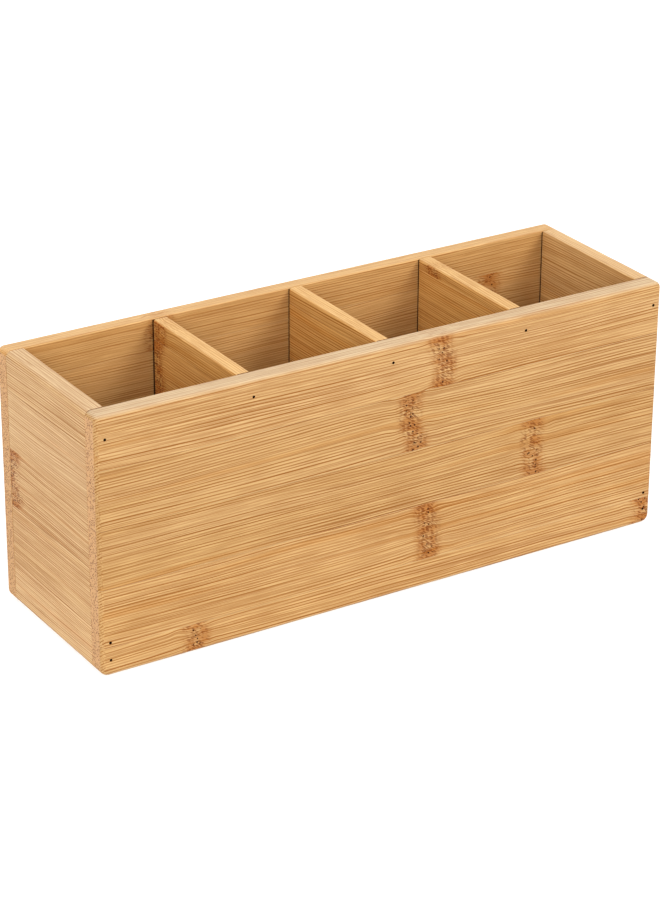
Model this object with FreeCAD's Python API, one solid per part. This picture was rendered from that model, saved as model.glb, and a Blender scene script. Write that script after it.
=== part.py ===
import FreeCAD, Part
import os

# Bamboo desk organiser: an open-topped box of laminated boards with dividers that make a row of
# equal compartments. The front and back panels run the full length and cover the ends of the other
# boards, and wire brads hold the joints.
# Frame: millimetres, +Z up, +X along the length, the front at -Y, the origin at the middle of the base.

# Driving dimensions
LENGTH = 245.0              # X, over the ends of the front and back panels
DEPTH = 76.0                # Y, over the faces of the front and back panels
HEIGHT = 102.0              # Z
WALL = 7.5                  # thickness of the four outer boards
DIVIDER = 6.0               # thickness of a divider
BASE = 6.0                  # thickness of the bottom board
COMPARTMENTS = 4

# The assembled box is sanded round on its outer edges
ROUND_LONG = 2.0            # edges along X and Z
ROUND_END_TOP = 2.4         # edges along Y at the top
ROUND_END_FOOT = 3.2        # edges along Y at the foot

# Each board is eased before it is joined
EASE_RIM = 0.6              # inner top edge of an outer board
EASE_DIVIDER = 0.9          # both top edges of a divider
EASE_END = 0.25             # upright edges at a butted end

# Brads: headless wire pins, driven below the surface
BRAD_RADIUS = 0.5
BRAD_LENGTH = 16.0          # with its point
BRAD_POINT = 1.5
BRAD_SUNK = 0.8             # depth of the open hole above the pin
CORNER_BRAD_HEIGHTS = (6.5, 13.5, HEIGHT - 9.0)
DIVIDER_BRAD_HEIGHT = HEIGHT - 6.5
FLOOR_BRAD_OFFSET = 20.0    # from the middle of a divider, along Y

# Worked out from the above
HALF_LENGTH = LENGTH / 2
HALF_DEPTH = DEPTH / 2
INNER_X = HALF_LENGTH - WALL
INNER_Y = HALF_DEPTH - WALL
COMPARTMENT_WIDTH = (2 * INNER_X - (COMPARTMENTS - 1) * DIVIDER) / COMPARTMENTS
DIVIDER_PITCH = COMPARTMENT_WIDTH + DIVIDER
DIVIDER_CENTRES = {
    "left": -DIVIDER_PITCH,
    "middle": 0.0,
    "right": DIVIDER_PITCH,
}
END_CENTRES = {
    "left": -(HALF_LENGTH - WALL / 2),
    "right": HALF_LENGTH - WALL / 2,
}

X_AXIS = FreeCAD.Vector(1, 0, 0)
Y_AXIS = FreeCAD.Vector(0, 1, 0)
Z_AXIS = FreeCAD.Vector(0, 0, 1)
TOLERANCE = 1e-6


def block(low, high):
    """A square-edged block between two opposite corners."""
    size = [high[i] - low[i] for i in range(3)]
    return Part.makeBox(size[0], size[1], size[2], FreeCAD.Vector(*low))


def edges_along(shape, axis, wanted):
    """The straight edges parallel to an axis whose middle point passes the test."""
    found = []
    for edge in shape.Edges:
        start = edge.Vertexes[0].Point
        direction = edge.Vertexes[-1].Point - start
        if direction.cross(axis).Length > TOLERANCE:
            continue
        if wanted(edge.CenterOfMass):
            found.append(edge)
    return found


def same(a, b):
    return abs(a - b) < TOLERANCE


def sanded_envelope():
    """The whole box as one block with its outer edges rounded, which trims each outer board."""
    shape = block((-HALF_LENGTH, -HALF_DEPTH, 0), (HALF_LENGTH, HALF_DEPTH, HEIGHT))
    shape = shape.makeFillet(ROUND_END_TOP, edges_along(shape, Y_AXIS, lambda p: same(p.z, HEIGHT)))
    shape = shape.makeFillet(ROUND_END_FOOT, edges_along(shape, Y_AXIS, lambda p: same(p.z, 0)))
    faces = [face for face in shape.Faces if same(abs(face.CenterOfMass.y), HALF_DEPTH)]
    outline = [edge for face in faces for edge in face.Edges]
    return shape.makeFillet(ROUND_LONG, outline)


def long_panel(side, envelope):
    """The front (side -1) or back (side 1) panel, which runs the full length."""
    inner, outer = side * INNER_Y, side * HALF_DEPTH
    board = block(
        (-HALF_LENGTH, min(inner, outer), 0),
        (HALF_LENGTH, max(inner, outer), HEIGHT),
    )
    rim = edges_along(board, X_AXIS, lambda p: same(p.y, inner) and same(p.z, HEIGHT))
    return board.makeFillet(EASE_RIM, rim).common(envelope)


def end_panel(side, envelope):
    """The left (side -1) or right (side 1) end panel, between the front and back panels."""
    inner, outer = side * INNER_X, side * HALF_LENGTH
    board = block(
        (min(inner, outer), -INNER_Y, 0),
        (max(inner, outer), INNER_Y, HEIGHT),
    )
    board = board.makeChamfer(EASE_END, edges_along(board, Z_AXIS, lambda p: True))
    rim = edges_along(board, Y_AXIS, lambda p: same(p.x, inner) and same(p.z, HEIGHT))
    return board.makeFillet(EASE_RIM, rim).common(envelope)


def bottom_panel():
    """The floor of the compartments, flush with the foot of the walls that surround it."""
    board = block((-INNER_X, -INNER_Y, 0), (INNER_X, INNER_Y, BASE))
    return board.makeChamfer(EASE_END, edges_along(board, Z_AXIS, lambda p: True))


def divider(centre):
    """A full-height board between two compartments, standing on the bottom panel."""
    board = block(
        (centre - DIVIDER / 2, -INNER_Y, BASE),
        (centre + DIVIDER / 2, INNER_Y, HEIGHT),
    )
    board = board.makeChamfer(EASE_END, edges_along(board, Z_AXIS, lambda p: True))
    return board.makeFillet(EASE_DIVIDER, edges_along(board, Y_AXIS, lambda p: same(p.z, HEIGHT)))


def pin(start, direction, sunk):
    """A pointed pin whose blunt end lies below start, which is a point on a board's surface."""
    blunt = start + direction * sunk
    point = start + direction * (BRAD_SUNK + BRAD_LENGTH)
    neck = point - direction * BRAD_POINT
    shank = Part.makeCylinder(BRAD_RADIUS, (neck - blunt).Length, blunt, direction)
    return shank.fuse(Part.makeCone(BRAD_RADIUS, 0, BRAD_POINT, neck, direction)).removeSplitter()


def corner_brads(side, end):
    """Where the brads enter that hold a long panel to an end panel."""
    centre = END_CENTRES[end]
    return [FreeCAD.Vector(centre, side * HALF_DEPTH, height) for height in CORNER_BRAD_HEIGHTS]


def brad_groups():
    """Each group's node name, with the entry points and the driving direction of its brads."""
    groups = {}
    for panel, side in (("front", -1), ("back", 1)):
        inwards = Y_AXIS * -side
        for end in END_CENTRES:
            groups[f"brads_{panel}_{end}_end"] = (corner_brads(side, end), inwards)
        for place, centre in DIVIDER_CENTRES.items():
            entry = FreeCAD.Vector(centre, side * HALF_DEPTH, DIVIDER_BRAD_HEIGHT)
            groups[f"brads_{panel}_divider_{place}"] = ([entry], inwards)
    for place, centre in DIVIDER_CENTRES.items():
        entries = [FreeCAD.Vector(centre, offset, 0) for offset in (-FLOOR_BRAD_OFFSET, FLOOR_BRAD_OFFSET)]
        groups[f"brads_bottom_divider_{place}"] = (entries, Z_AXIS)
    return groups


def boards():
    """Every board by node name, before the brads are driven."""
    envelope = sanded_envelope()
    shapes = {
        "front_panel": long_panel(-1, envelope),
        "back_panel": long_panel(1, envelope),
        "left_end_panel": end_panel(-1, envelope),
        "right_end_panel": end_panel(1, envelope),
        "bottom_panel": bottom_panel(),
    }
    for place, centre in DIVIDER_CENTRES.items():
        shapes[f"divider_{place}"] = divider(centre)
    return shapes


def drill(board, holes):
    """The board less the holes that reach into it."""
    reaching = [hole for hole in holes if hole.BoundBox.intersect(board.BoundBox)]
    return board.cut(Part.makeCompound(reaching)).Solids[0]


def main():
    os.makedirs("parts", exist_ok=True)
    groups = brad_groups()
    holes = [pin(start, way, 0) for starts, way in groups.values() for start in starts]
    for name, board in boards().items():
        drill(board, holes).exportStep(f"parts/{name}.step")
    for name, (starts, way) in groups.items():
        pins = [pin(start, way, BRAD_SUNK) for start in starts]
        shape = pins[0] if len(pins) == 1 else Part.makeCompound(pins)
        shape.exportStep(f"parts/{name}.step")


main()
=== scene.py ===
import math
import random
from collections import namedtuple

import bmesh
import bpy
from mathutils import Matrix, Vector, noise


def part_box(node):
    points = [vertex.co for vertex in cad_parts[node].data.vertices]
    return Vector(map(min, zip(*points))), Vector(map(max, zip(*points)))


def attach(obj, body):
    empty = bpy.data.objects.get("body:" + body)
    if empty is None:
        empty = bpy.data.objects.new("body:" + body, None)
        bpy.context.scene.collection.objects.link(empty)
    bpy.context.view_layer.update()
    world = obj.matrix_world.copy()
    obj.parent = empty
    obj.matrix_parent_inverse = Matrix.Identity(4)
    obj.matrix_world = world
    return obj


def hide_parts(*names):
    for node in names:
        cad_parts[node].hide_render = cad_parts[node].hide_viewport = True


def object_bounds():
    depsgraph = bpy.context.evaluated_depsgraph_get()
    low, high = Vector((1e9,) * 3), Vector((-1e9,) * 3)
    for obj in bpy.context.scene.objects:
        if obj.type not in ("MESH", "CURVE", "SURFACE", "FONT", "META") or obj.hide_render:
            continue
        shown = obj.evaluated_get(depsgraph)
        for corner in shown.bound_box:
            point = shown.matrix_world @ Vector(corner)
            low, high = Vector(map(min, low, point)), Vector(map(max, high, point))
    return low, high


# A bamboo desk organiser: every CAD board becomes the laminated strips it is glued up from, cut
# from the board's own CAD mesh, with worn edges and a grain that follows each strip. The brads keep
# their CAD meshes. Lengths are in metres, except in the materials, which work in millimetres.

X, Y, Z = 0, 1, 2
AXES = (Vector((1, 0, 0)), Vector((0, 1, 0)), Vector((0, 0, 1)))
MM = 0.001
WELD = 1e-6                 # vertices nearer than this are one vertex

# Lamination
STRIP_WIDTH = 23.2 * MM     # across the grain, from one glue joint to the next
NARROWEST_STRIP = 0.1 * STRIP_WIDTH
JOINT_EASE = 0.05 * MM      # tiny arris on each side of a glue joint
STATION = 5.0 * MM          # spacing along the grain of the points that edge wear moves
WEAR = 0.16 * MM            # the most that sanding and handling take off a rounded edge
WEAR_WAVE = 9.0 * MM        # length of that unevenness
WEAR_LEAN = 0.25            # how far a normal's largest part is below 1 where wear is full
SHARP_ANGLE = 32.0          # degrees, edges sharper than this stay crisp
SEED = 41

# Brad holes
BORE_RADIUS = 0.5 * MM
BORE_REACH = 10.0 * MM      # how far a hole runs from the middle of its brad

# Each board: the CAD node, the axis its grain runs along, the axis its strips lie across, how far
# its first glue joint is from the board's edge, how fine its fibres are, how strong its figure is,
# how warm and how pale it is, how pale its rim is, how far it stops short of the back panel, and
# for each strip from the first, how light it is and where its knuckles are along the grain, in
# millimetres from the middle of the board.
Board = namedtuple(
    "Board", "node grain across first_joint fineness figure warmth pallor rim_pallor gap tones knuckles")
BOARDS = (
    Board("front_panel", X, Z, 11.6 * MM, 1.0, 1.0, 0.0, 0.0, 1.0, 0.0,
          (0.83, 0.82, 0.77, 0.77, 0.80), ((-84.2, 118.3), (16.5,), (63.9,), (9.1,), (21.9,))),
    Board("back_panel", X, Z, 19.3 * MM, 1.2, 0.5, 0.22, 0.1, 0.6, 0.0,
          (1.0, 1.0, 1.0, 0.96, 0.93), ((-31.0,), (-96.0, 112.0), (47.0,), (89.4,), (-58.0,))),
    Board("left_end_panel", Y, Z, 17.8 * MM, 1.3, 1.5, 0.05, 0.42, 0.4, 0.1 * MM,
          (0.96, 0.93, 0.89, 0.90, 0.86), ((), (), (27.5,), (), ())),
    Board("right_end_panel", Y, Z, 9.2 * MM, 1.2, 0.7, 0.2, 0.1, 0.8, 0.5 * MM,
          (1.0, 1.0, 1.0, 1.0, 0.93), ((), (), (-14.0,), (), ())),
    Board("bottom_panel", X, Y, 18.4 * MM, 1.0, 0.8, 0.2, 0.0, 0.0, 0.0,
          (1.0, 0.97, 1.02), ((-40.0,), (71.0,), (5.0,))),
    Board("divider_left", Y, Z, 18.5 * MM, 1.2, 0.8, 0.4, 0.0, 0.95, 0.9 * MM,
          (0.98, 0.98, 0.98, 0.99, 0.94), ((), (8.0,), (), (27.0,), (25.0,))),
    Board("divider_middle", Y, Z, 20.6 * MM, 1.2, 0.8, 0.4, 0.0, 0.95, 0.5 * MM,
          (0.98, 0.98, 0.98, 1.0, 0.94), ((), (), (-17.0,), (), ())),
    Board("divider_right", Y, Z, 22.3 * MM, 1.2, 0.8, 0.4, 0.0, 0.95, 0.5 * MM,
          (0.98, 0.98, 0.98, 0.98, 0.94), ((-9.0,), (), (), (), (20.5,))),
)
LONG_PANELS = ("front_panel", "back_panel")
JOINT_SHADE_AND_DIRT_SPREAD = 0.12 * MM     # how far a joint's dark line, painted shade and glue dirt, spreads beside a board that meets a panel
NO_KNUCKLE = 1000.0         # millimetres, well away from any strip
MOST_KNUCKLES = 2           # in one strip

# Camera: where it stands around the middle of the object, and what it aims at
VIEW_AZIMUTH = -32.1        # degrees, 0 looks along +Y
VIEW_ELEVATION = 24.85
VIEW_ROLL = 0.32
VIEW_DISTANCE = 4.68        # times the object's length
VIEW_AIM = (-0.0112, -0.0201)  # to the right and up from the middle, times the object's length
LENS_MM = 120.9
SENSOR_MM = 36.0

# Light: soft lamps round the object, at angles given as for the camera, with powers in watts
SKY_LEVEL = 1.0             # radiance of the surround at the horizon
SKY_ZENITH = 0.2            # and straight up
Lamp = namedtuple("Lamp", "name azimuth elevation power")
LAMPS = (
    Lamp("front_right", 40.0, 40.0, 128.0),
    Lamp("front_low", -32.0, 25.0, 74.0),
    Lamp("left", -80.0, 40.0, 72.0),
    Lamp("behind", 180.0, 50.0, 82.0),
)
LAMP_SIZE = 2.1
LAMP_DISTANCE = 4.0
FLOOR_RADIUS = 2.5
FLOOR_DROP = 0.2 * MM
FLOOR_GLOW = 0.6            # radiance that the lit white table adds


def srgb(red, green, blue):
    """A linear colour from sRGB values of 0 to 255."""
    def linear(value):
        value /= 255
        return value / 12.92 if value <= 0.04045 else ((value + 0.055) / 1.055) ** 2.4
    return (linear(red), linear(green), linear(blue), 1.0)


# Colours of the bamboo
PALE_FLESH = srgb(206, 168, 118)
WARM_FLESH = srgb(196, 153, 89)
ORANGE_FLESH = srgb(186, 124, 50)
FIBRE = srgb(134, 74, 10)
RIM_FLESH = srgb(208, 186, 153)
KNUCKLE_SKIN = srgb(158, 90, 26)
KNUCKLE_FLECK = srgb(106, 44, 2)
PORE = srgb(56, 18, 0)
# Painted shade and glue dirt along the joints where a board meets a panel
JOINT_SHADE_AND_DIRT = srgb(40, 16, 2)
END_FLESH = srgb(184, 142, 98)
END_FIBRE = srgb(92, 50, 26)
# Glued end grain, dark with glue and painted shade
GLUE_AND_SHADE_FLESH = srgb(106, 58, 16)
GLUE_AND_SHADE_FIBRE = srgb(61, 28, 8)


class Graph:
    """Adds nodes to a new material and links them."""

    def __init__(self, name):
        self.material = bpy.data.materials.new(name)
        self.material.use_nodes = True
        self.tree = self.material.node_tree
        self.tree.nodes.clear()

    def node(self, kind, inputs=(), output=0, **settings):
        made = self.tree.nodes.new(kind)
        for name, value in settings.items():
            setattr(made, name, value)
        for key, value in dict(inputs).items():
            if isinstance(value, bpy.types.NodeSocket):
                self.tree.links.new(value, made.inputs[key])
            else:
                made.inputs[key].default_value = value
        return made.outputs[output]

    def attribute(self, name):
        return self.node("ShaderNodeAttribute", output=1, attribute_name=name)

    def split(self, vector):
        made = self.tree.nodes.new("ShaderNodeSeparateXYZ")
        self.tree.links.new(vector, made.inputs[0])
        return made.outputs

    def join(self, x, y, z):
        return self.node("ShaderNodeCombineXYZ", {0: x, 1: y, 2: z})

    def math(self, operation, a, b=0.0):
        return self.node("ShaderNodeMath", {0: a, 1: b}, operation=operation)

    def add(self, a, b):
        return self.math("ADD", a, b)

    def times(self, a, b):
        return self.math("MULTIPLY", a, b)

    def stretch(self, vector, scale):
        return self.node("ShaderNodeVectorMath", {0: vector, 1: scale}, operation="MULTIPLY")

    def dot(self, a, b):
        return self.node("ShaderNodeVectorMath", {0: a, 1: b}, output=1, operation="DOT_PRODUCT")

    def noise(self, vector, scale, detail=2.0):
        """Noise of 0 to 1 with its own scale along each axis, in cycles per millimetre."""
        stretched = self.stretch(vector, scale)
        return self.node("ShaderNodeTexNoise", {"Vector": stretched, "Scale": 1.0, "Detail": detail})

    def sway(self, vector, scale, reach):
        """Noise of about -reach to +reach."""
        return self.times(self.add(self.noise(vector, scale, 1.0), -0.5), 2.0 * reach)

    def strands(self, vector, scale, edge, core):
        """Separate slender strands, each 1 in its core and 0 outside its edge."""
        inputs = {"Vector": self.stretch(vector, scale), "Scale": 1.0, "Randomness": 0.7}
        return self.ramp(self.node("ShaderNodeTexVoronoi", inputs), edge, core)

    def lines(self, phase, edge, core):
        """Parallel lines, one for each whole turn of the phase."""
        return self.ramp(self.math("SINE", self.times(phase, 2.0 * math.pi)), edge, core)

    def ramp(self, value, start, end, low=0.0, high=1.0):
        """Goes smoothly from low to high as the value goes from start to end."""
        inputs = {"Value": value, "From Min": start, "From Max": end, "To Min": low, "To Max": high}
        return self.node("ShaderNodeMapRange", inputs, interpolation_type="SMOOTHSTEP")

    def mix(self, share, a, b, blend="MIX"):
        return self.node("ShaderNodeMixRGB", {0: share, 1: a, 2: b}, blend_type=blend)

    def finish(self, colour, roughness, height, depth, specular):
        """A rough dielectric surface with a bump of the given depth."""
        bump = self.node("ShaderNodeBump", {"Height": height, "Distance": depth, "Strength": 1.0})
        inputs = {"Base Color": colour, "Roughness": roughness, "Normal": bump}
        shader = self.node("ShaderNodeBsdfPrincipled", inputs)
        shader.node.inputs["Specular IOR Level"].default_value = specular
        output = self.tree.nodes.new("ShaderNodeOutputMaterial")
        self.tree.links.new(shader, output.inputs["Surface"])
        return self.material


def distance_to_knuckle(g, sample, to_first, to_second):
    """How far away the nearer knuckle is. Its line wanders across the strip."""
    wander = g.add(g.sway(sample, (0.0, 0.06, 0.03), 5.5), g.sway(sample, (0.0, 0.35, 0.2), 1.8))
    first = g.math("ABSOLUTE", g.add(to_first, wander))
    second = g.math("ABSOLUTE", g.add(to_second, wander))
    return g.math("MINIMUM", first, second)


def flesh(g, fibres, near, figure, pale):
    """Broad soft bands, long orange streaks that gather near the knuckles, and paler rims on the level
    faces.
    """
    broad = g.ramp(g.noise(fibres, (0.006, 0.13, 0.13)), 0.34, 0.66)
    medium = g.ramp(g.noise(fibres, (0.008, 0.6, 0.6)), 0.36, 0.66)
    gather = g.add(g.noise(fibres, (0.006, 0.24, 0.24)), g.times(near, 0.07))
    orange = g.ramp(gather, 0.57, 0.69)
    bands = g.add(0.32, g.times(figure, g.add(g.times(broad, 0.18), g.times(medium, 0.05))))
    colour = g.mix(bands, PALE_FLESH, WARM_FLESH)
    colour = g.mix(g.times(orange, g.times(figure, 0.34)), colour, ORANGE_FLESH)
    return g.mix(g.times(pale, 0.9), colour, RIM_FLESH)


def fibre_bundles(g, fibres):
    """Even fine lines along the grain, a little over a millimetre apart, with broken strands and
    finer threads between them. 1 where a bundle is darkest."""
    phase = g.add(g.dot(fibres, (0.0, 0.86, 0.8)), g.sway(fibres, (0.006, 0.3, 0.3), 0.65))
    uneven = g.ramp(g.noise(fibres, (0.01, 0.9, 0.9), 1.0), 0.35, 0.65, 0.4, 1.0)
    lines = g.times(g.lines(phase, 0.0, 0.9), uneven)
    crowded = g.ramp(g.noise(fibres, (0.008, 0.2, 0.2)), 0.3, 0.68, 0.5, 0.7)
    strands = g.times(g.strands(fibres, (0.009, 2.0, 2.0), 0.43, 0.25), crowded)
    threads = g.strands(fibres, (0.04, 3.2, 3.2), 0.47, 0.3)
    return g.math("MAXIMUM", lines, g.math("MAXIMUM", strands, g.times(threads, 0.4)))


def knuckle_skin(g, colour, sample, away, off_centre, below_rim):
    """Brown patches beside a knuckle, deepest at the strip's edges."""
    band = g.ramp(away, 7.5, 1.5)
    edges = g.ramp(g.math("ABSOLUTE", off_centre), 0.45, 1.0, 0.0, 0.2)
    blotch = g.add(g.noise(sample, (0.2, 0.26, 0.26), 3.0), edges)
    patches = g.times(g.times(band, below_rim), g.ramp(blotch, 0.36, 0.68))
    return g.mix(g.times(patches, 0.62), colour, KNUCKLE_SKIN)


def knuckle_flecks(g, colour, leaning, away, below_rim):
    """Short dark flecks that lean across the grain beside a knuckle."""
    beside = g.times(g.ramp(away, 7.0, 2.0), below_rim)
    flecks = g.times(g.strands(leaning, (0.5, 1.7, 1.1), 0.52, 0.34), beside)
    return g.mix(g.times(flecks, 0.72), colour, KNUCKLE_FLECK)


def bamboo(name, end_flesh, end_fibre):
    """Laminated bamboo. Reads sample, knuckle, axis, finish, tint and the joints' painted shade and dirt
    from the mesh.
    """
    g = Graph(name)
    sample = g.attribute("sample")
    along, across, depth = g.split(sample)[:3]
    to_first, to_second, off_centre = g.split(g.attribute("knuckle"))[:3]
    pallor, rim_pallor, figure = g.split(g.attribute("finish"))[:3]
    normal = g.node("ShaderNodeNewGeometry", output=1)
    # Paler on faces that face up or down, by the board's rim pallor
    up = g.ramp(g.math("ABSOLUTE", g.split(normal)[2]), 0.5, 0.92)
    pale = g.add(pallor, g.times(up, g.times(rim_pallor, 0.8)))

    # The fibres wave a little, and swirl beside a knuckle
    away = distance_to_knuckle(g, sample, to_first, to_second)
    near = g.ramp(away, 16.0, 1.0)
    swirl = g.times(near, g.sway(sample, (0.11, 0.17, 0.17), 1.7))
    waves = g.add(g.sway(sample, (0.008, 0.03, 0.03), 3.0), g.sway(sample, (0.03, 0.1, 0.1), 0.25))
    fibres = g.join(along, g.add(across, g.add(swirl, waves)), depth)
    leaning = g.join(along, g.add(across, g.add(g.times(along, 0.5), swirl)), depth)

    colour = flesh(g, fibres, near, figure, pale)
    dashes = fibre_bundles(g, fibres)
    hair = g.noise(fibres, (0.10, 4.2, 4.2), 2.0)
    darkness = g.times(g.ramp(pale, 0.0, 0.8, 1.0, 0.55), g.add(0.46, g.times(figure, 0.46)))
    colour = g.mix(g.times(dashes, darkness), colour, FIBRE)
    colour = g.mix(g.ramp(hair, 0.42, 0.7, 0.0, 0.25), colour, FIBRE)

    # A knuckle's marks, with a row of pores along its line, fade on the level faces, such as the rims
    below_rim = g.ramp(up, 0.0, 0.6, 1.0, 0.15)
    colour = knuckle_skin(g, colour, sample, away, off_centre, below_rim)
    colour = knuckle_flecks(g, colour, leaning, away, below_rim)
    row = g.times(g.ramp(away, 2.8, 1.4), below_rim)
    pores = g.times(g.strands(sample, (0.6, 0.55, 0.3), 0.28, 0.17), row)
    colour = g.mix(pores, colour, PORE)

    # The joints' dark lines of painted shade and glue dirt, the strip's own tint, and end grain with
    # dots instead of lines
    joint_shade_and_dirt = g.node("ShaderNodeAttribute", output=2, attribute_name="joint_shade_and_dirt")
    colour = g.mix(g.times(joint_shade_and_dirt, 0.9), colour, JOINT_SHADE_AND_DIRT)
    colour = g.mix(1.0, colour, g.attribute("tint"), "MULTIPLY")
    # End faces take the end colours, which on glued ends are dark with glue and painted shade
    end = g.ramp(g.math("ABSOLUTE", g.dot(normal, g.attribute("axis"))), 0.95, 0.99)
    dots = g.strands(sample, (0.0, 1.4, 1.6), 0.5, 0.28)
    colour = g.mix(end, colour, g.mix(g.times(dots, 0.9), end_flesh, end_fibre))

    relief = g.add(g.times(dashes, -1.0), g.add(g.times(hair, 0.5), g.times(pores, -1.5)))
    roughness = g.add(g.times(dashes, 0.12), 0.5)
    return g.finish(colour, roughness, relief, 0.025 * MM, 0.08)


def bore():
    """Painted shade inside a brad hole, near-black and mottled."""
    g = Graph("brad_bore")
    sample = g.attribute("sample")
    shade_mottle = g.noise(sample, (2.0, 3.0, 3.0), 3.0)
    colour = g.mix(shade_mottle, srgb(20, 8, 3), srgb(48, 22, 9))
    return g.finish(colour, 0.9, shade_mottle, 0.05 * MM, 0.02)


def steel_wire():
    """Dull drawn wire, painted nearly black as the shade of the holes its heads sit in, with darker
    spots.
    """
    g = Graph("brad_wire")
    place = g.stretch(g.node("ShaderNodeTexCoord", output=3), (1000.0, 1000.0, 1000.0))
    spots = g.noise(place, (1.4, 1.4, 1.4), 3.0)
    drawn = g.noise(place, (6.0, 0.4, 6.0), 2.0)
    colour = g.mix(g.ramp(spots, 0.35, 0.65), srgb(26, 15, 9), srgb(12, 6, 3))
    material = g.finish(colour, g.ramp(spots, 0.3, 0.7, 0.45, 0.7), drawn, 0.01 * MM, 0.02)
    material.node_tree.nodes["Principled BSDF"].inputs["Metallic"].default_value = 0.05
    return material


def pins(frame):
    """Each brad's (middle, driving axis), read from the brad nodes."""
    found = []
    for name, item in frame["nodes"].items():
        if not name.startswith("brads_"):
            continue
        axis = Z if "_bottom_" in name else Y
        bm = bmesh.new()
        bm.from_mesh(item.data)
        bmesh.ops.remove_doubles(bm, verts=bm.verts, dist=WELD)
        waiting = set(bm.verts)
        while waiting:
            island = grow(waiting.pop())
            waiting -= island
            low = Vector([min(v.co[i] for v in island) for i in range(3)])
            high = Vector([max(v.co[i] for v in island) for i in range(3)])
            found.append(((low + high) / 2, axis))
        bm.free()
    return found


def grow(vertex):
    """The vertices joined to this one."""
    island, edge = {vertex}, [vertex]
    while edge:
        for link in edge.pop().link_edges:
            for other in link.verts:
                if other not in island:
                    island.add(other)
                    edge.append(other)
    return island


def board_mesh(frame, node):
    """An editable copy of a CAD board, welded, with its flat faces whole."""
    bm = bmesh.new()
    bm.from_mesh(frame["nodes"][node].data)
    bmesh.ops.remove_doubles(bm, verts=bm.verts, dist=WELD)
    bmesh.ops.dissolve_limit(bm, angle_limit=math.radians(0.1), verts=bm.verts, edges=bm.edges)
    return bm


def slice_at(bm, axis, place, keep=0):
    """Cuts across an axis. keep is -1 or 1 for the side that stays, which is closed, or 0 for both."""
    normal = AXES[axis] * (-1 if keep > 0 else 1)
    geometry = bm.verts[:] + bm.edges[:] + bm.faces[:]
    cut = bmesh.ops.bisect_plane(
        bm, geom=geometry, dist=1e-7, plane_co=AXES[axis] * place, plane_no=normal,
        clear_outer=bool(keep),
    )
    if not keep:
        return
    loop = [item for item in cut["geom_cut"] if isinstance(item, bmesh.types.BMEdge)]
    bmesh.ops.holes_fill(bm, edges=loop, sides=0)
    loop = [edge for edge in loop if edge.is_valid]
    bmesh.ops.bevel(
        bm, geom=loop, offset=JOINT_EASE, segments=1, profile=0.5, affect="EDGES", clamp_overlap=True,
    )


def wear(bm, shift):
    """Sinks the rounded edges unevenly. Flat faces stay where they are."""
    bm.normal_update()
    moves = []
    for vertex in bm.verts:
        flatness = max(abs(part) for part in vertex.normal)
        roundness = min(1.0, (1.0 - flatness) / WEAR_LEAN)
        if roundness < 0.01:
            continue
        place = vertex.co / WEAR_WAVE + shift
        depth = 0.5 + 0.5 * noise.noise(place) + 0.25 * noise.noise(place * 3.1)
        moves.append((vertex, vertex.normal * (-WEAR * roundness * max(0.0, min(1.0, depth)))))
    for vertex, move in moves:
        vertex.co += move


def near_pin(point, brads, reach):
    """Whether a point is within reach of the line of a brad's hole."""
    for middle, axis in brads:
        offset = point - middle
        beyond = abs(offset[axis])
        offset[axis] = 0
        if offset.length < reach and beyond < BORE_REACH:
            return True
    return False


def mark_bores(bm, brads):
    """Gives the faces inside the brad holes the second material."""
    reach = BORE_RADIUS + 0.03 * MM
    for face in bm.faces:
        if all(near_pin(vertex.co, brads, reach) for vertex in face.verts):
            face.material_index = 1


def store(mesh, name, vectors):
    """Stores one vector for each vertex."""
    layer = mesh.attributes.new(name, "FLOAT_VECTOR", "POINT")
    layer.data.foreach_set("vector", [part for vector in vectors for part in vector])


def store_figure(mesh, board, index, joints, draw):
    """Stores what the bamboo material reads, in millimetres from the middle of the board."""
    low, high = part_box(board.node)
    middle = (low + high) / 2
    bottom, top = joints[index:index + 2]
    knuckles = list(board.knuckles[index])
    knuckles += [NO_KNUCKLE] * (MOST_KNUCKLES - len(knuckles))
    through = 3 - board.grain - board.across
    shift = Vector([draw.uniform(-900, 900) for _ in range(3)])
    places = []
    distances = []
    for vertex in mesh.vertices:
        offset = (vertex.co - middle) / MM
        local = Vector((offset[board.grain], offset[board.across] * board.fineness, offset[through]))
        places.append(local + shift)
        off_centre = (2 * vertex.co[board.across] - bottom - top) / (top - bottom)
        distances.append([local.x - knuckle for knuckle in knuckles] + [off_centre])
    count = len(mesh.vertices)
    tone = board.tones[index] * draw.uniform(0.98, 1.02)
    pallor = max(0.0, board.pallor + draw.uniform(-0.06, 0.1))
    tint = (tone, tone * (1 - 0.35 * board.warmth), tone * (1 - board.warmth))
    store(mesh, "sample", places)
    store(mesh, "knuckle", distances)
    store(mesh, "axis", [AXES[board.grain]] * count)
    store(mesh, "finish", [(pallor, board.rim_pallor, board.figure)] * count)
    store(mesh, "tint", [tint] * count)


def meeting_boards():
    """Where along X each end panel and divider meets the front and back panels, short of their ends."""
    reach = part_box("back_panel")[1].x - STATION
    boxes = [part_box(board.node) for board in BOARDS if board.grain == Y]
    return [(max(low.x, -reach), min(high.x, reach)) for low, high in boxes]


def store_joint_shade_and_dirt(mesh, covered):
    """Marks what the end panels and dividers cover on the inner face of a panel, for the joints' painted
    shade and glue dirt.
    """
    shade_and_dirt_marks = []
    inner = min(abs(vertex.co.y) for vertex in mesh.vertices) + 0.05 * MM
    for vertex in mesh.vertices:
        place = vertex.co
        hidden = any(start - WELD < place.x < end + WELD for start, end in covered)
        shade_and_dirt_marks.append(1.0 if hidden and abs(place.y) < inner else 0.0)
    mesh.attributes.new("joint_shade_and_dirt", "FLOAT", "POINT").data.foreach_set("value", shade_and_dirt_marks)


def glue_joints(board):
    """Where a board's strips start and end, across its grain."""
    low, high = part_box(board.node)
    joints = [low[board.across]]
    place = low[board.across] + board.first_joint
    while place < high[board.across] - NARROWEST_STRIP:
        joints.append(place)
        place += STRIP_WIDTH
    joints.append(high[board.across])
    return joints


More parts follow.
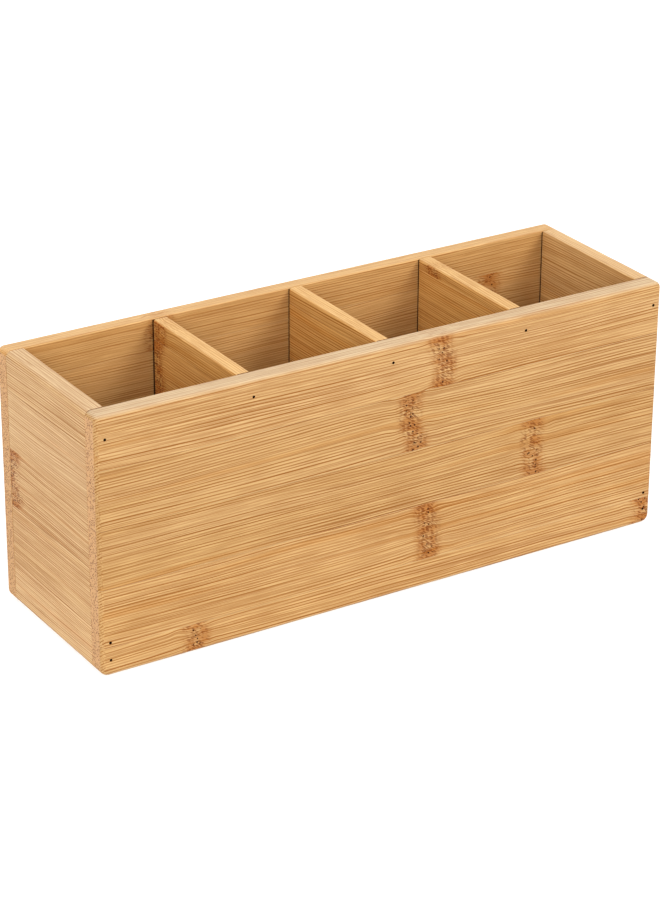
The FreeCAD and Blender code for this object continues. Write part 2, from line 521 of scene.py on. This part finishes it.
def strip_mesh(frame, board, index, joints, covered, brads):
    """One worn strip, cut from its board."""
    low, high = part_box(board.node)
    bm = board_mesh(frame, board.node)
    if index > 0:
        slice_at(bm, board.across, joints[index], keep=1)
    if index < len(joints) - 2:
        slice_at(bm, board.across, joints[index + 1], keep=-1)
    if board.gap:
        slice_at(bm, board.grain, high[board.grain] - board.gap, keep=-1)
    station = low[board.grain] + STATION
    while station < high[board.grain] - STATION / 2:
        slice_at(bm, board.grain, station)
        station += STATION
    # Cuts where the joints' painted shade and glue dirt begin and end
    for start, end in covered:
        for place in (start - JOINT_SHADE_AND_DIRT_SPREAD, start, end, end + JOINT_SHADE_AND_DIRT_SPREAD):
            slice_at(bm, X, place)
    mark_bores(bm, brads)
    wear(bm, Vector((3.0, 1.0, 2.0)) * (index + 1))
    mesh = bpy.data.meshes.new(f"{board.node}_strip_{index + 1}")
    bm.to_mesh(mesh)
    bm.free()
    return mesh


def make_strips(frame, board, materials, brads, draw):
    """Makes a board's glued strips, each its own piece."""
    joints = glue_joints(board)
    covered = meeting_boards() if board.node in LONG_PANELS else ()
    for index in range(len(joints) - 1):
        mesh = strip_mesh(frame, board, index, joints, covered, brads)
        for material in materials:
            mesh.materials.append(material)
        store_figure(mesh, board, index, joints, draw)
        store_joint_shade_and_dirt(mesh, covered)
        mesh.shade_smooth()
        mesh.set_sharp_from_angle(angle=math.radians(SHARP_ANGLE))

        piece = bpy.data.objects.new(mesh.name, mesh)
        bpy.context.scene.collection.objects.link(piece)
        weighted = piece.modifiers.new("even_shading", "WEIGHTED_NORMAL")
        weighted.keep_sharp = True
        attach(piece, "root")
        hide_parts(board.node)


def around(azimuth, elevation):
    """The direction that points back from the object, at angles in degrees."""
    azimuth, elevation = math.radians(azimuth), math.radians(elevation)
    return Vector((
        math.sin(azimuth) * math.cos(elevation),
        -math.cos(azimuth) * math.cos(elevation),
        math.sin(elevation),
    ))


def make_floor():
    """A plain lit white table top, which isn't part of the object."""
    bm = bmesh.new()
    bmesh.ops.create_circle(bm, cap_ends=True, radius=FLOOR_RADIUS, segments=96)
    mesh = bpy.data.meshes.new("floor")
    bm.to_mesh(mesh)
    bm.free()
    g = Graph("floor_paper")
    place = g.node("ShaderNodeTexCoord", output=3)
    mottle = g.noise(place, (40.0, 40.0, 40.0), 2.0)
    colour = g.mix(mottle, srgb(180, 180, 180), srgb(186, 186, 186))
    mesh.materials.append(g.finish(colour, 0.9, mottle, 0.01 * MM, 0.1))
    shader = g.tree.nodes["Principled BSDF"]
    shader.inputs["Emission Color"].default_value = (1.0, 1.0, 1.0, 1.0)
    shader.inputs["Emission Strength"].default_value = FLOOR_GLOW
    floor = bpy.data.objects.new("floor", mesh)
    floor.location.z = -FLOOR_DROP
    bpy.context.scene.collection.objects.link(floor)


def make_sky():
    """A white surround, dimmer overhead."""
    world = bpy.data.worlds.new("studio")
    world.use_nodes = True
    tree = world.node_tree
    place = tree.nodes.new("ShaderNodeTexCoord")
    split = tree.nodes.new("ShaderNodeSeparateXYZ")
    level = tree.nodes.new("ShaderNodeMapRange")
    level.inputs["To Min"].default_value = SKY_LEVEL
    level.inputs["To Max"].default_value = SKY_ZENITH
    tree.links.new(place.outputs["Generated"], split.inputs[0])
    tree.links.new(split.outputs["Z"], level.inputs["Value"])
    tree.links.new(level.outputs[0], tree.nodes["Background"].inputs["Strength"])
    tree.nodes["Background"].inputs["Color"].default_value = (1.0, 1.0, 1.0, 1.0)
    bpy.context.scene.world = world


def make_lamps():
    """Square soft boxes that all point at the object."""
    for lamp in LAMPS:
        light = bpy.data.lights.new(lamp.name, "AREA")
        light.shape = "SQUARE"
        light.size = LAMP_SIZE
        light.energy = lamp.power
        holder = bpy.data.objects.new(lamp.name, light)
        back = around(lamp.azimuth, lamp.elevation)
        holder.location = back * LAMP_DISTANCE
        holder.rotation_euler = (-back).to_track_quat("-Z", "Y").to_euler()
        bpy.context.scene.collection.objects.link(holder)


def make_camera(low, high):
    """A camera that looks down at the front and the left end."""
    length = high.x - low.x
    back = around(VIEW_AZIMUTH, VIEW_ELEVATION)
    roll = Matrix.Rotation(math.radians(VIEW_ROLL), 3, "Z")
    turn = (-back).to_track_quat("-Z", "Y").to_matrix() @ roll
    right, up = turn.col[0], turn.col[1]
    aim = (low + high) / 2 + (right * VIEW_AIM[0] + up * VIEW_AIM[1]) * length
    lens = bpy.data.cameras.new("camera")
    lens.sensor_width = SENSOR_MM
    lens.lens = LENS_MM
    lens.clip_start = 0.05
    lens.clip_end = 50.0
    camera = bpy.data.objects.new("camera", lens)
    camera.matrix_world = Matrix.Translation(aim + back * VIEW_DISTANCE * length) @ turn.to_4x4()
    bpy.context.scene.collection.objects.link(camera)
    bpy.context.scene.camera = camera


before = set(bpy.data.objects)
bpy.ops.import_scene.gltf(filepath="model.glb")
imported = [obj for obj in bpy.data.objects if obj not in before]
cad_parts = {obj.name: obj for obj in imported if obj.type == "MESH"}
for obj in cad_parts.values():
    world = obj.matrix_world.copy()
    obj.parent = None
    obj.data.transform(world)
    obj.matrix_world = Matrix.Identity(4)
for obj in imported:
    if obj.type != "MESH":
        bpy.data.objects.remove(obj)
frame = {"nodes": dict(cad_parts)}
cad_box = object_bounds()
brads = pins(frame)
draw = random.Random(SEED)
open_ends = bamboo("bamboo_laminate", END_FLESH, END_FIBRE)
glue_and_shade_ends = bamboo("bamboo_glue_and_shade_ends", GLUE_AND_SHADE_FLESH, GLUE_AND_SHADE_FIBRE)
hole = bore()
for board in BOARDS:
    laminate = open_ends if board.node in LONG_PANELS else glue_and_shade_ends
    make_strips(frame, board, (laminate, hole), brads, draw)
wire = steel_wire()
for name, item in frame["nodes"].items():
    if name.startswith("brads_"):
        for place in item.material_slots:
            place.material = wire
make_floor()
make_sky()
make_lamps()
make_camera(*cad_box)
bpy.context.scene.view_settings.view_transform = "Standard"
